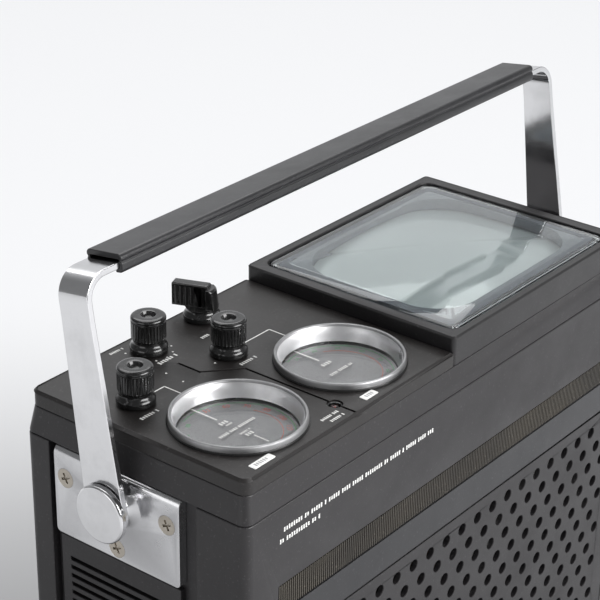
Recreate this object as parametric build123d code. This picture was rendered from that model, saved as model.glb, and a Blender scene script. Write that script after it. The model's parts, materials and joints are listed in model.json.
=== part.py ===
"""Portable television with radio, standing on its rear face with the screen looking up.

Frame: +Z out of the screen, X along the set, -Y the speaker side.  The origin is on the plane of the
rear feet, under the middle of the cabinet.  Units are millimetres.
"""
from build123d import *
from math import acos, atan2, cos, degrees, hypot, pi, sin
import os

# ---------------------------------------------------------------- driving dimensions
FRONT_L, FRONT_W = 282.0, 105.0      # front face, along X and along Y
FLARE = 2.0                          # the cabinet is this much larger all round behind the front
PANEL_Z = 226.0                      # plane of the control panel, above the feet
FOOT_H = 4.0                         # rear feet
WALL = 2.5                           # cabinet walls
SLAB_H, SEAM_H = 6.2, 17.5           # depth of the panel slab, and of the seam between the cabinets
FRAME_RISE = 6.3                     # the screen frame stands this far above the panel
FRAME_X = (-15.3, 114.7)             # screen frame, low and high X
SHOULDER_DROP = 11.0                 # fall of the shoulder beyond the frame, at the screen end
DIAL_R, DIAL_RISE = 25.75, 3.35      # outer radius and height of a dial ring
RADIO_DIAL = (-109.3, -22.1)
TV_DIAL = (-48.5, -22.1)
RADIO_KNOB = (-123.5, 15.0)
TV_KNOB = (-71.9, 14.2)
VOLUME_KNOB = (-89.8, 39.5)
SELECTOR = (-55.3, 42.4)
SELECTOR_TURN = 112.0                # the lever points this way, degrees from +X
KNOB_H = 15.7                        # round knobs, above the panel
KNOB_R, CAP_R, COLLAR_R = 6.9, 7.0, 7.5   # barrel, cap and collar
LEVER_H = 15.3                       # selector lever, above the panel
SHAFT_R = 3.0
RUN_FIT = 0.05                       # radial clearance of every turning fit
GAP = 0.3                            # clearance between bodies that pass each other
DRUM_R = 20.0                        # cord drums under the scale discs
PIVOT_Y, PIVOT_Z = 5.5, 196.0        # handle axis
HANDLE_LEAN = 8.2                    # degrees towards +Y at rest
STRAP_T, STRAP_W, EYE_R = 2.5, 14.4, 9.8
STRAP_TOP = 91.5                     # from the handle axis to the outer face of the cross bar
STRAP_IN = 149.0                     # inner face of each strap leg, from the middle
BEND_R = 10.0
GRIP_L = 268.0
RECESS_Y = (-31.0, 42.0)             # recess in each end of the rear cabinet
RECESS_D = 4.0
PLATE_Y, PLATE_Z = (-23.0, 39.4), (170.3, 208.0)
NECK_R, PIN_R, BUSH_R = 6.3, 4.0, 5.0
HOLE_R, HOLE_PITCH, HOLE_ROW = 2.6, 11.49, 9.23
GRILLE_X, GRILLE_Z = (-124.0, 122.6), (21.0, 148.2)
SLAT_Z, STRIP_Z = (163.7, 175.4), (148.6, 163.3)
TRIM_X = (-124.7, 124.0)
SPEAKER = (54.0, 96.0)               # X and Z of the speaker's centre
TUBE_X = 49.7                        # middle of the picture tube
TUBE_W, TUBE_H = 112.0, 88.0
TUBE_DOME = 300.0                    # radius of the face
SHIELD_W, SHIELD_H = 116.6, 95.0     # implosion shield, along X and Y
SHIELD_EDGE = 1.0                    # its edge stands this far above the frame
SHIELD_DOME = 3.3                    # and its middle this far
CORNER_R = 4.0                       # upright corners of the cabinet
AERIAL = (133.5, -49.5, 186.0)       # elbow of the rod aerial
AERIAL_END = 30.0                    # lower end of its outer section
AERIAL_SLOT = (124.5, -43.8)         # X where its channel starts, Y of the channel's floor
LAMP, LAMP_R = (-77.2, -41.7), 3.1   # tuning lamp
GROOVE, GROOVE_D = 1.0, 1.1          # divider groove in the panel, width and depth
LONG_SPINDLE, SHORT_SPINDLE = 24.0, 14.8   # spindles of the tuning knobs and of the other two
PLATE_SCREWS = ((33.8, 195.2), (-16.9, 195.2), (8.2, 175.0))   # Y and Z
FERRITE = (8.0, 134.0)               # Y and Z of the ferrite rod
DOOR_KNUCKLES = ((-112, -92), (-10, 10), (92, 112))   # X ranges on the battery door
BODY_KNUCKLES = ((-91.6, -76), (76, 91.6))            # X ranges on the cabinet
DOOR_Z = 14.2                        # height of the door's hinge
KNUCKLE_R, DOOR_PIN_R = 2.2, 1.2        # radii of the door's hinge knuckles and pins
BOX_SCREWS = ((-118, -14), (118, -14), (-118, 46), (118, 46))   # X and Y on the rear wall
EARPHONE, DC_INLET = (-15.0, -31.0), (-37.0, -31.0)             # X and Y on the rear wall

HX, HY = FRONT_L / 2, FRONT_W / 2
RX, RY = HX + FLARE, HY + 1.8        # rear cabinet, half sizes
SEAM_Z = PANEL_Z - SEAM_H
SLAB_Z = PANEL_Z - SLAB_H
FRAME_TOP = PANEL_Z + FRAME_RISE
DOOR_AXIS = (RY, DOOR_Z)             # Y and Z of the battery door's hinge
NODES = {}


# ---------------------------------------------------------------- helpers
def block(x0, x1, y0, y1, z0, z1):
    """Box from its low to its high corner."""
    return Pos((x0 + x1) / 2, (y0 + y1) / 2, (z0 + z1) / 2) * Box(x1 - x0, y1 - y0, z1 - z0)


def rod_z(x, y, z0, z1, r):
    return Pos(x, y, (z0 + z1) / 2) * Cylinder(r, z1 - z0)


def rod_x(y, z, x0, x1, r):
    return Pos((x0 + x1) / 2, y, z) * Rot(0, 90, 0) * Cylinder(r, abs(x1 - x0))


def rod_y(x, z, y0, y1, r):
    return Pos(x, (y0 + y1) / 2, z) * Rot(90, 0, 0) * Cylinder(r, abs(y1 - y0))


def slab(cx, cy, w, h, r, z0, z1):
    """Upright prism on a rounded rectangle."""
    return Pos(cx, cy, z0) * extrude(RectangleRounded(w, h, r), z1 - z0)


def turned(points):
    """Solid of revolution about Z from (radius, height) points."""
    face = make_face(Polyline(*[(r, 0, z) for r, z in points], close=True))
    return revolve(face, Axis.Z)


def group(parts):
    return Compound(children=list(parts))


def save(name, shape):
    NODES[name] = shape
    export_step(shape, f"parts/{name}.step")


# ---------------------------------------------------------------- cabinet
def control_panel():
    x1 = FRAME_X[0]
    body = block(-HX, x1, -HY, HY, SLAB_Z, PANEL_Z)
    body = fillet(body.edges().filter_by(Axis.Z).group_by(Axis.X)[0], CORNER_R)
    body = chamfer(body.faces().sort_by(Axis.Z)[-1].edges(), 0.5)
    body -= block(-HX + WALL, x1 - WALL, -HY + WALL, HY - WALL, SLAB_Z - 1, PANEL_Z - WALL)
    for x, y in (RADIO_DIAL, TV_DIAL):
        body -= rod_z(x, y, SLAB_Z, PANEL_Z + 1, DIAL_R - 1.3)
    for x, y in (RADIO_KNOB, TV_KNOB, VOLUME_KNOB, SELECTOR):
        body -= rod_z(x, y, SLAB_Z, PANEL_Z + 1, SHAFT_R + RUN_FIT)
    lamp_x, lamp_y = LAMP
    body -= rod_z(lamp_x, lamp_y, SLAB_Z, PANEL_Z + 1, LAMP_R)
    # divider groove between the radio and television halves
    path = [(-90.4, 23.4), (-90.5, 12.7), (-77.2, 1.4), (-77.3, lamp_y + LAMP_R)]
    path_b = [(-77.3, lamp_y - LAMP_R), (-77.3, -HY + 0.6)]
    for line in (path, path_b):
        for (xa, ya), (xb, yb) in zip(line[:-1], line[1:]):
            length, turn = hypot(xb - xa, yb - ya), degrees(atan2(yb - ya, xb - xa))
            mid = Pos((xa + xb) / 2, (ya + yb) / 2, PANEL_Z)
            body -= mid * Rot(0, 0, turn) * Box(length + GROOVE, GROOVE, 2 * GROOVE_D)
    return body



def drafted(w0, h0, w1, h1, z0, z1, r):
    """Frustum between two rounded rectangles."""
    low = Pos(0, 0, z0) * RectangleRounded(w0, h0, r)
    high = Pos(0, 0, z1) * RectangleRounded(w1, h1, r)
    return loft([low, high])


def shoulder(x):
    """Height of the sloping shoulder at the screen end."""
    return PANEL_Z - 1.0 - SHOULDER_DROP * (x - FRAME_X[1]) / (HX - FRAME_X[1])


def front_cabinet():
    body = drafted(2 * RX, 2 * RY, FRONT_L, FRONT_W, SEAM_Z, SLAB_Z, CORNER_R)
    end = block(FRAME_X[1], HX, -HY, HY, SLAB_Z, PANEL_Z - 1.0)
    body += fillet(end.edges().filter_by(Axis.Z).group_by(Axis.X)[-1], CORNER_R)
    body = body - block(-HX + WALL, HX - WALL, -HY + WALL, HY - WALL, SEAM_Z - 1, SLAB_Z + 0.01)
    body -= block(FRAME_X[1] + WALL, HX - WALL, -HY + WALL, HY - WALL, SLAB_Z - 1, PANEL_Z - 1 - WALL)
    # the right-hand shoulder slopes back, and its underside follows the slope
    x_in, x_out = FRAME_X[1] + WALL, HX - 1.0
    far = RX + 5.0
    wedge = Polyline((FRAME_X[1], 0, shoulder(FRAME_X[1])), (far, 0, shoulder(far)),
                     (far, 0, PANEL_Z + 5), (FRAME_X[1], 0, PANEL_Z + 5), close=True)
    body -= extrude(make_face(wedge), RY + 5, both=True, dir=(0, 1, 0))
    under = Polyline((x_in, 0, shoulder(x_in) - WALL), (x_out, 0, shoulder(x_out) - WALL),
                     (x_out, 0, shoulder(x_out)), (x_in, 0, shoulder(x_in)), close=True)
    lid = extrude(make_face(under), HY - 1, both=True, dir=(0, 1, 0))
    return body + lid


def rear_cabinet():
    z0 = FOOT_H
    body = slab(0, 0, 2 * RX, 2 * RY, CORNER_R, z0, SEAM_Z)
    inner = block(-RX + WALL, RX - WALL, -RY + WALL, RY - WALL, z0 + WALL, SEAM_Z + 1)
    lo, hi = RECESS_Y
    for s in (-1, 1):
        pad = block(min(s * (RX - RECESS_D - WALL), s * RX), max(s * (RX - RECESS_D - WALL), s * RX),
                    lo - WALL, hi + WALL, z0, SEAM_Z)
        inner -= pad
    ax, ay = AERIAL_SLOT
    inner -= block(ax - WALL, RX, -RY, ay + WALL, z0, SEAM_Z)
    body -= inner
    for s in (-1, 1):
        body -= block(min(s * (RX - RECESS_D), s * (RX + 1)), max(s * (RX - RECESS_D), s * (RX + 1)),
                      lo, hi, 22.0, SEAM_Z + 1)
        body -= rod_x(PIVOT_Y, PIVOT_Z, s * (RX - 9), s * RX, NECK_R)
        for y, z in PLATE_SCREWS:
            body -= rod_x(y, z, s * (RX - 9), s * RX, 2.1)
        # air opening behind the vent panel
        body -= block(min(s * (RX - 9), s * RX), max(s * (RX - 9), s * RX), -18.0, 35.0, 52.0, 158.0)
    # open corner channel for the rod aerial
    body -= block(ax, RX + 1, -RY - 1, ay, z0 - 1, 200.0)
    body -= rod_y(AERIAL[0], AERIAL[2], ay - 1, ay + WALL + 1, 2.5 + RUN_FIT)
    # speaker side: grille opening and the pockets of the two strips
    body -= block(GRILLE_X[0], GRILLE_X[1], -RY - 1, -RY + WALL + 1, *GRILLE_Z)
    body -= block(*TRIM_X, -RY - 1, -RY + 1.5, *SLAT_Z)
    body -= block(*TRIM_X, -RY - 1, -RY + 0.8, *STRIP_Z)
    # base side: battery opening and hinge relief
    body -= block(-124, 124, RY - WALL - 1, RY + 1, 14.0, 50.0)
    for x0, x1 in DOOR_KNUCKLES:
        body -= rod_x(*DOOR_AXIS, x0 - GAP, x1 + GAP, KNUCKLE_R + GAP)
    for x0, x1 in BODY_KNUCKLES:
        body += rod_x(*DOOR_AXIS, x0, x1, KNUCKLE_R)
        body += block(x0, x1, RY - WALL, RY, 9.0, 14.0)
        body -= rod_x(*DOOR_AXIS, x0 - 1, x1 + 1, DOOR_PIN_R)
    # rear wall: sockets and screw holes
    body -= block(-76.5, -53.5, -36.5, -25.5, z0 - 1, z0 + WALL + 1)
    for x, y in (EARPHONE, DC_INLET):
        body -= rod_z(x, y, z0 - 1, z0 + WALL + 1, 4.5)
    for x, y in BOX_SCREWS:
        body -= rod_z(x, y, z0 - 1, z0 + WALL + 1, 1.6)
        body -= rod_z(x, y, z0 - 1, z0 + 1.2, 3.2)
    return body



def screen_frame():
    x0, x1 = FRAME_X
    cx = (x0 + x1) / 2
    body = slab(cx, 0, x1 - x0, FRONT_W, 2.0, SLAB_Z, FRAME_TOP)
    body = chamfer(body.faces().sort_by(Axis.Z)[-1].edges(), 0.4)
    body -= slab(cx, 0, x1 - x0 - 11.6, FRONT_W - 8.2, 5.0, PANEL_Z + 3.2, FRAME_TOP + 1)
    body -= slab(cx, 0, x1 - x0 - 17.0, FRONT_W - 13.0, 8.0, SLAB_Z - 1, FRAME_TOP)
    return body


def implosion_shield():
    """Clear moulded cover with a slightly domed face, hollow underneath."""
    seat, edge = PANEL_Z + 3.2, FRAME_TOP + SHIELD_EDGE
    crown, radius = FRAME_TOP + SHIELD_DOME, 720.0
    blank = slab(TUBE_X, 0, SHIELD_W, SHIELD_H, 4.0, seat, crown + 1)
    dome = blank & (Pos(TUBE_X, 0, crown - radius) * Rot(90, 0, 0) * Sphere(radius))
    body = dome + slab(TUBE_X, 0, SHIELD_W, SHIELD_H, 4.0, seat, edge)
    return body - slab(TUBE_X, 0, SHIELD_W - 6.0, SHIELD_H - 6.0, 2.5, seat - 1, edge - 2.0)


def tube_face_sphere(extra):
    return Pos(TUBE_X, 0, PANEL_Z + 4.3 - TUBE_DOME) * Rot(90, 0, 0) * Sphere(TUBE_DOME + extra)


def picture_tube():
    z_rim, z_neck, z_end = PANEL_Z - 14, PANEL_Z - 75, PANEL_Z - 138

    def bulb(inset, neck):
        face = slab(TUBE_X, 0, TUBE_W - 2 * inset, TUBE_H - 2 * inset, 16.0 - inset, z_rim, PANEL_Z + 6)
        face &= tube_face_sphere(-inset * 1.4)
        wide = Pos(TUBE_X, 0, z_rim) * RectangleRounded(TUBE_W - 2 * inset, TUBE_H - 2 * inset, 16.0 - inset)
        narrow = Pos(TUBE_X, 0, z_neck) * RectangleRounded(2 * neck, 2 * neck, neck - 0.1)
        return face + loft([wide, narrow])

    body = bulb(0, 10.5) + rod_z(TUBE_X, 0, z_end, z_neck, 10.5)
    body -= bulb(3.5, 8.5)
    body -= rod_z(TUBE_X, 0, z_end + 2, z_neck + 2, 8.5)
    pins = [rod_z(TUBE_X + 6 * cos(a * pi / 4), 6 * sin(a * pi / 4), z_end - 7, z_end, 0.6)
            for a in range(7)]
    for pin in pins:
        body += pin
    return body


def tube_mask():
    """Frame between the face of the tube and the shield."""
    low, top = PANEL_Z - 6.0, PANEL_Z + 4.4
    ring = slab(TUBE_X, 0, SHIELD_W - 6.6, SHIELD_H - 6.6, 2.4, low, top)
    ring -= slab(TUBE_X, 0, 102.0, 78.0, 20.0, low - 1, top + 1)
    ring -= tube_face_sphere(0.3)
    ring -= slab(TUBE_X, 0, TUBE_W + 0.6, TUBE_H + 0.6, 16.3, low - 1, PANEL_Z - 2.0)
    return ring.solids().sort_by(SortBy.VOLUME)[-1]


def tube_clamp():
    z0, z1 = PANEL_Z - 14, PANEL_Z - 7.7
    body = slab(TUBE_X, 0, TUBE_W + 3, TUBE_H + 3, 17.0, z0, z1)
    for sx in (-1, 1):
        for sy in (-1, 1):
            x, y = TUBE_X + sx * 57, sy * 38
            body += block(x - 6, x + 6, y - 4, y + 4, z1 - 1.5, z1 + 1.5)
    body -= slab(TUBE_X, 0, TUBE_W + 0.1, TUBE_H + 0.1, 16.0, z0 - 1, z1 + 3)
    for sx in (-1, 1):
        for sy in (-1, 1):
            body -= rod_z(TUBE_X + sx * 60, sy * 38, z0, z1 + 3, 1.5)
    return body


def tube_screws():
    z1 = PANEL_Z - 9.2
    parts = []
    for sx in (-1, 1):
        for sy in (-1, 1):
            x, y = TUBE_X + sx * 60, sy * 38
            parts.append(rod_z(x, y, z1 - 2.2, z1, 2.8) + rod_z(x, y, z1, z1 + 3.0, 1.5))
    return group(parts)


def deflection_yoke():
    z0 = PANEL_Z - 98
    core = turned([(11.2, z0), (24, z0), (26, z0 + 4), (26, z0 + 16), (22, z0 + 20), (11.2, z0 + 20)])
    core = Pos(TUBE_X, 0, 0) * core
    for k in range(12):
        a = k * pi / 6
        core -= rod_z(TUBE_X + 26.5 * cos(a), 26.5 * sin(a), z0 - 1, z0 + 21, 2.0)
    return core


def socket_board():
    z = PANEL_Z - 138
    body = block(TUBE_X - 22, TUBE_X + 22, -15, 22, z - 9, z - 7.4)
    body += rod_z(TUBE_X, 0, z - 7.4, z - 1.0, 9.5)
    for k in range(7):
        a = k * pi / 4
        body -= rod_z(TUBE_X + 6 * cos(a), 6 * sin(a), z - 7.2, z, 0.6)
    return body


# ---------------------------------------------------------------- dials, knobs and drives
def dial_ring(x, y):
    r = DIAL_R
    section = [(r - 1.4, -3.5), (r - 1.4, 0), (r + 0.5, 0), (r, DIAL_RISE - 0.35), (r - 0.35, DIAL_RISE),
               (r - 1.6, DIAL_RISE), (r - 1.95, DIAL_RISE - 0.35), (r - 3.1, -3.5)]
    return Pos(x, y, PANEL_Z) * turned(section)


def dial_window(x, y):
    return rod_z(x, y, PANEL_Z - 5.0, PANEL_Z - 3.5, DIAL_R - 1.4)


def scale_disc(x, y):
    """Printed disc with its cord drum and spindle."""
    z = PANEL_Z
    section = [(0, z - 30), (2, z - 30), (2, z - 11), (DRUM_R + 1.5, z - 11), (DRUM_R + 1.5, z - 10.4),
               (DRUM_R, z - 10.4), (DRUM_R, z - 8.2), (DRUM_R + 1.5, z - 8.2), (DRUM_R + 1.5, z - 7.6),
               (12, z - 7.6), (12, z - 6.6), (DIAL_R - 3.2, z - 6.6), (DIAL_R - 3.2, z - 5.6), (0, z - 5.6)]
    return Pos(x, y, 0) * turned(section)


def drive_cord(dial, knob):
    """Cord loop round the drum and the knob's shaft."""
    (xa, ya), (xb, yb) = dial, knob
    ra, rb = DRUM_R + GAP, SHAFT_R + GAP

    def loop(grow):
        r1, r2 = ra + grow, rb + grow
        span = hypot(xb - xa, yb - ya)
        lean = acos((r1 - r2) / span)
        top1 = (r1 * cos(lean), r1 * sin(lean))
        top2 = (span + r2 * cos(lean), r2 * sin(lean))
        outline = [
            Line(top1, top2),
            ThreePointArc(top2, (span + r2, 0), (top2[0], -top2[1])),
            Line((top2[0], -top2[1]), (top1[0], -top1[1])),
            ThreePointArc((top1[0], -top1[1]), (-r1, 0), top1),
        ]
        return make_face(outline)

    ring = extrude(loop(0.8), 0.8) - extrude(loop(0.0), 0.8)
    turn = degrees(atan2(yb - ya, xb - xa))
    return Pos(xa, ya, PANEL_Z - 9.7) * Rot(0, 0, turn) * ring


def collar(top_r, top):
    """Outline of the round foot of a knob, up to radius top_r at height top."""
    r = COLLAR_R
    return [(0, 0.5), (r - 0.3, 0.5), (r, 0.9), (r, 2.6), (r - 0.5, 3.3), (6.3, 4.1), (6.1, 5.0),
            (top_r - 0.3, top - 0.2), (top_r, top)]


def round_knob(x, y, spindle):
    """Ribbed barrel on a flared collar, rounded cap with a thumb dimple, on its spindle."""
    h = KNOB_H
    cap = [(KNOB_R, h - 2.4), (KNOB_R - 0.4, h - 2.2), (KNOB_R - 0.4, h - 1.9), (CAP_R, h - 1.7),
           (CAP_R, h - 1.3), (CAP_R - 0.4, h - 0.5), (CAP_R - 1.3, h), (0, h)]
    body = turned(collar(KNOB_R, 6.3) + cap)
    body -= Pos(0, 0, h + 1.8) * Sphere(3.4)
    ribs = 30
    for k in range(ribs):
        a = 2 * pi * k / ribs
        body -= rod_z(KNOB_R * cos(a), KNOB_R * sin(a), 6.2, h - 2.3, 0.3)
    body += rod_z(0, 0, -spindle, 1.0, SHAFT_R)
    return Pos(x, y, PANEL_Z) * body


def selector_knob():
    """Ribbed lever with a stepped round tail, on a round collar, with its spindle."""
    x, y = SELECTOR
    low, half = 5.6, 2.3
    body = turned(collar(6.8, low) + [(0, low)])
    bar = block(-3.2, 12.0, -half, half, low - 0.2, LEVER_H)
    bar = fillet(bar.faces().sort_by(Axis.Z)[-1].edges(), 0.7)
    tail = turned([(0, low - 0.2), (6.9, low - 0.2), (5.9, LEVER_H - 2.2), (5.2, LEVER_H - 1.4),
                   (0, LEVER_H - 1.4)])
    body += bar + (tail & block(-8, -2.6, -half - 1.2, half + 1.2, 0, LEVER_H))
    for k in range(7):
        for s in (-1, 1):
            body -= rod_z(-2.2 + 2.2 * k, s * (half + 0.1), low + 0.4, LEVER_H - 1.3, 0.45)
    body += rod_z(0, 0, -SHORT_SPINDLE, 1.0, SHAFT_R)
    return Pos(x, y, PANEL_Z) * Rot(0, 0, SELECTOR_TURN) * body



def control_body(x, y, r):
    """Rotary control under the panel, with its threaded bush."""
    body = rod_z(x, y, PANEL_Z - 17, PANEL_Z - 6, r) + rod_z(x, y, PANEL_Z - 6, PANEL_Z - WALL, 4.5)
    return body - rod_z(x, y, PANEL_Z - 15.2, PANEL_Z, SHAFT_R + RUN_FIT)


def tuning_lamp():
    """Round lens in its recess."""
    x, y = LAMP
    return rod_z(x, y, PANEL_Z - 6, PANEL_Z - 2.4, LAMP_R) + Pos(x, y, PANEL_Z - 2.8) * Sphere(2.3)


def dial_chassis():
    z0, z1 = PANEL_Z - 21.5, PANEL_Z - 20
    body = block(-134, -22, -47, 28, z0, z1)
    for x, y in ((-131, -44), (-25, -44), (-131, 25), (-25, 25)):
        body += rod_z(x, y, z1, PANEL_Z - WALL, 2.5)
    for x, y in (RADIO_DIAL, TV_DIAL):
        body -= rod_z(x, y, z0 - 1, z1 + 1, 2 + RUN_FIT)
    for x, y in (RADIO_KNOB, TV_KNOB):
        body -= rod_z(x, y, z0 - 1, z1 + 1, SHAFT_R + RUN_FIT)
    return body


def tuner_box(x, y, w, h, z0, z1):
    """Screened box with a hole for the disc's spindle."""
    body = block(x - w / 2, x + w / 2, y - h / 2, y + h / 2, z0, z1)
    return body - rod_z(x, y, PANEL_Z - 31.5, z1 + 1, 2 + GAP)


# ---------------------------------------------------------------- handle
def lean(shape):
    return Pos(0, PIVOT_Y, PIVOT_Z) * Rot(-HANDLE_LEAN, 0, 0) * shape


def handle_strap():
    """Flat bar bent into a U, with a round eye at each end."""
    xo, xi, top = STRAP_IN + STRAP_T, STRAP_IN, STRAP_TOP
    height = top + EYE_R

    def arch(half, upper, r):
        face = Pos(0, (upper - EYE_R) / 2 - 20) * RectangleRounded(2 * half, upper + EYE_R + 40, r)
        return Plane.XZ * face

    bar = extrude(arch(xo, top, BEND_R), 12, both=True)
    bar -= extrude(arch(xi, top - STRAP_T, BEND_R - STRAP_T), 13, both=True)
    side = Circle(EYE_R)
    half = STRAP_W / 2
    taper = make_face(Polyline((0, 9.6), (0, -9.6), (74, -half), (top + 1, -half),
                               (top + 1, half), (74, half), close=True))
    outline = Plane.YZ * (Rot(0, 0, 90) * (side + taper))
    keep = extrude(outline, 2 * xo, both=True)
    bar &= keep
    for s in (-1, 1):
        bar -= rod_x(0, 0, s * (xi - 2), s * (xo + 2), PIN_R)
    solids = bar.solids().sort_by(SortBy.VOLUME)
    return lean(solids[-1])


def handle_grip():
    """Channel-shaped sleeve round the cross bar, with a groove along its near side."""
    low, high, half = STRAP_TOP - STRAP_T - 1.7, STRAP_TOP + 3.0, 8.6
    body = block(-GRIP_L / 2, GRIP_L / 2, -half, half, low, high)
    body = fillet(body.edges().filter_by(Axis.X), 1.8)
    body -= block(-GRIP_L, GRIP_L, -STRAP_W / 2, STRAP_W / 2, STRAP_TOP - STRAP_T, high - 2.2)
    body -= block(-GRIP_L, GRIP_L, -5.0, 5.0, low - 1, STRAP_TOP - STRAP_T + 1)
    for y in (-half, half):
        body -= Pos(0, y, high - 2.9) * Rot(45, 0, 0) * Box(GRIP_L + 1, 0.9, 0.9)
    return lean(body)


def pivot_pin(s):
    """Round cap outside the strap, with its pin running inwards."""
    x1 = STRAP_IN + STRAP_T
    cap = turned([(0, x1), (10.4, x1), (10.4, x1 + 0.5), (11.6, x1 + 0.5), (11.6, x1 + 2.5), (11.0, x1 + 3.2),
                  (0, x1 + 3.2)])
    root, out = PIN_R - 0.6, PIN_R + 1
    pin = rod_z(0, 0, 133.0, x1, PIN_R) - turned([(root, 134), (out, 134), (out, 135), (root, 135)])
    return lean(Rot(0, 90 * s, 0) * (cap + pin))


def pivot_clips():
    parts = []
    for s in (-1, 1):
        ring = rod_x(PIVOT_Y, PIVOT_Z, s * 134, s * 135, 6.5)
        ring -= rod_x(PIVOT_Y, PIVOT_Z, s * 133, s * 136, PIN_R - 0.6)
        parts.append(ring)
    return group(parts)


def pivot_plate(s):
    """Flanged plate with a rolled top edge and a drawn neck."""
    x0, x1 = RX - RECESS_D, RX
    (y0, y1), (z0, z1) = PLATE_Y, PLATE_Z
    body = block(x0, x1, y0, y1, z0, z1)
    outer = body.edges().filter_by(Axis.Y).group_by(Axis.X)[-1].sort_by(Axis.Z)[-1]
    body = fillet(outer, 3.8)
    body = fillet(body.edges().filter_by(Axis.X).group_by(Axis.Z)[0], 2.0)
    t = 1.5
    cavity = block(x0 - 1, x1 - t, y0 + t, y1 - t, z0 + t, z1 - t)
    upper = cavity.edges().filter_by(Axis.Y).group_by(Axis.X)[-1].sort_by(Axis.Z)[-1]
    body -= fillet(upper, 2.3)
    end = STRAP_IN - GAP
    flare = 4.0
    section = Polyline((0, x1 - t), (NECK_R + flare, x1 - t), (NECK_R + flare, x1))
    curve = RadiusArc((NECK_R + flare, x1), (NECK_R, end - 0.6), 6.5, short_sagitta=True)
    rest = Polyline((NECK_R, end - 0.6), (NECK_R - 0.6, end), (0, end), (0, x1 - t))
    neck = revolve(Plane.XZ * make_face([section, curve, rest]), Axis.Z)
    body += Pos(0, PIVOT_Y, PIVOT_Z) * Rot(0, 90, 0) * neck
    body -= rod_x(PIVOT_Y, PIVOT_Z, x0 - 1, end + 1, BUSH_R)
    for y, z in PLATE_SCREWS:
        body -= rod_x(y, z, x0 - 1, x1 + 1, 2.1)
        cone = turned([(0, x1 - 1.9), (2.1, x1 - 1.9), (4.2, x1 + 0.2), (0, x1 + 0.2)])
        body -= Pos(0, y, z) * Rot(0, 90, 0) * cone
    return body if s > 0 else mirror(body, about=Plane.YZ)



def plate_screws():
    """Countersunk screws with a cross recess, three in each plate."""
    x1 = RX
    screw = turned([(0, x1 - 14), (1.4, x1 - 14), (2.0, x1 - 13), (2.0, x1 - 1.9), (4.0, x1), (0, x1)])
    for turn in (25, 115):
        screw -= Pos(0, 0, x1) * Rot(0, 0, turn) * Box(4.4, 0.9, 1.8)
    parts = []
    for s in (-1, 1):
        for y, z in PLATE_SCREWS:
            parts.append(Pos(0, y, z) * Rot(0, 90 * s, 0) * screw)
    return group(parts)


def pivot_bush(s):
    x0, x1 = RX - RECESS_D, STRAP_IN - GAP
    ring = rod_x(PIVOT_Y, PIVOT_Z, s * x0, s * x1, BUSH_R)
    return ring - rod_x(PIVOT_Y, PIVOT_Z, s * (x0 - 1), s * (x1 + 1), PIN_R + RUN_FIT)


def vent_panel(s):
    """Slotted panel in the end recess, below the pivot plate."""
    x0, x1 = RX - RECESS_D, RX - 1.6
    body = block(x0, x1, -22.0, 39.0, 24.0, 168.5)
    z = 54.0
    while z < 160.0:
        body -= block(x0 - 1, x1 + 1, -17.5, 34.5, z, z + 1.7)
        z += 3.85
    return body if s > 0 else mirror(body, about=Plane.YZ)


# ---------------------------------------------------------------- speaker side
def speaker_grille():
    y0, y1 = -RY, -RY + WALL
    (xa, xb), (za, zb) = GRILLE_X, GRILLE_Z
    body = block(xa + 0.15, xb - 0.15, y0, y1, za + 0.15, zb - 0.15)
    body += block(xa - 2, xb - 0.9, y1, y1 + 1.2, za - 2, zb + 2)
    body -= block(xa + 6, xb - 6, y1, y1 + 2, za + 4, zb - 4)
    first_x, first_z, columns, rows = -107.74, 140.2, 20, 13
    holes = []
    for row in range(rows):
        shift = 0.5 * (row % 2)
        for column in range(columns - row % 2):
            holes.append(Location((first_x + (column + shift) * HOLE_PITCH, first_z - row * HOLE_ROW)))
    pattern = Sketch() + [place * Circle(HOLE_R) for place in holes]
    cutter = extrude(Plane.XZ * pattern, 4, both=True)
    return body - Pos(0, y0 + 1, 0) * cutter


def slat_strip():
    """Thin trim strip with fine upright ribs."""
    (x0, x1), (z0, z1) = TRIM_X, SLAT_Z
    body = block(x0 + 0.1, x1 - 0.1, -RY + 0.7, -RY + 1.5, z0 + 0.1, z1 - 0.1)
    pitch = 2.5
    for k in range(int((x1 - x0) / pitch)):
        body += block(x0 + 0.6 + k * pitch, x0 + 1.9 + k * pitch, -RY + 0.1, -RY + 0.7, z0 + 0.1, z1 - 0.1)
    return body


def plain_strip():
    return block(TRIM_X[0] + 0.1, TRIM_X[1] - 0.1, -RY + 0.1, -RY + 0.8, STRIP_Z[0] + 0.1, STRIP_Z[1] - 0.1)


def speaker_frame():
    x, z = SPEAKER
    y0 = -RY + WALL + 1.2
    section = [(41, 0), (47, 0), (47, 1.4), (42.5, 1.4), (24, 19), (24, 20.2), (20, 20.2), (20, 18.4),
               (40.6, 1.6), (40.6, 0.6)]
    body = turned(section)
    for k in range(6):
        body -= Rot(0, 0, 60 * k + 30) * (Pos(33, 0, 10) * Box(9, 14, 30))
    body += turned([(41, 0), (47, 0), (47, 1.4), (41, 1.4)])
    return Pos(x, y0, z) * Rot(-90, 0, 0) * body


def speaker_cone():
    x, z = SPEAKER
    y0 = -RY + WALL + 1.2
    section = [(10, 12.6), (38, 2.2), (40.5, 1.0), (40.5, 0.4), (37.5, 1.2), (9.6, 11.6), (0, 9.4), (0, 10.4)]
    return Pos(x, y0, z) * Rot(-90, 0, 0) * turned(section)


def speaker_magnet():
    x, z = SPEAKER
    y0 = -RY + WALL + 1.2
    return rod_y(x, z, y0 + 20.2, y0 + 33, 22) + rod_y(x, z, y0 + 33, y0 + 34.5, 18)


# ---------------------------------------------------------------- inside
def board(x0, x1, y0, y1, z0, z1, parts):
    """Circuit board with its larger components as blocks and cans."""
    body = block(x0, x1, y0, y1, z0, z1)
    for piece in parts:
        body += piece
    return body


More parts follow.
